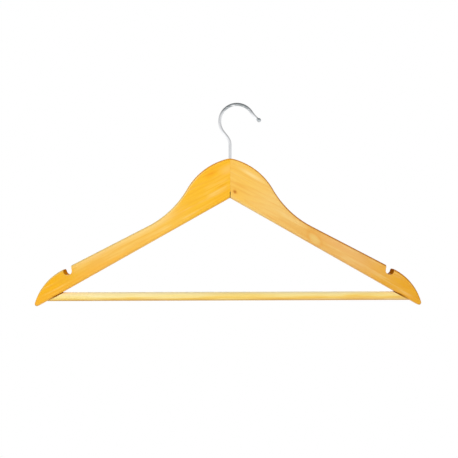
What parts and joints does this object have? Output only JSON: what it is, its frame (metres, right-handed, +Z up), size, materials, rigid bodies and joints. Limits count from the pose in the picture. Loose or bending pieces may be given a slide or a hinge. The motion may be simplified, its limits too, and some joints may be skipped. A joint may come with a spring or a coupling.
{
  "type": "clothes hanger",
  "caption": "Flat wooden clothes hanger with a mitred crown, strap notches, a round trouser bar and a swivelling wire hook.",
  "frame": {"origin": "where the rail bears on the inside of the hook's crown, in the middle of the wire", "axes": "+X from the left shoulder to the right one, with the hook's mouth at +X; +Y from the front face to the back face; +Z up"},
  "size_m": [0.4446, 0.012, 0.2344],
  "materials": {
    "left_board": "satin varnish",
    "right_board": "satin varnish",
    "bar": "gloss varnish",
    "dowel": "bare",
    "hook": "polished",
    "hardware": "zinc plated",
    "bush": "plain"
  },
  "bodies": {
    "hook": {"hook": "hook", "hook_nut": "hardware"},
    "hanger": {"left_arm": "left_board", "right_arm": "right_board", "mitre_dowel_upper": "dowel", "mitre_dowel_lower": "dowel", "hook_bush": "bush", "hook_washer": "hardware", "trouser_bar": "bar", "left_bar_pin": "hardware", "right_bar_pin": "hardware"}
  },
  "joints": [
    {"name": "hook_swivel", "type": "hinge", "parent": "hook", "child": "hanger", "pos_m": [-0.008, 0, -0.0615], "axis": [0, 0, 1], "continuous": true}
  ]
}
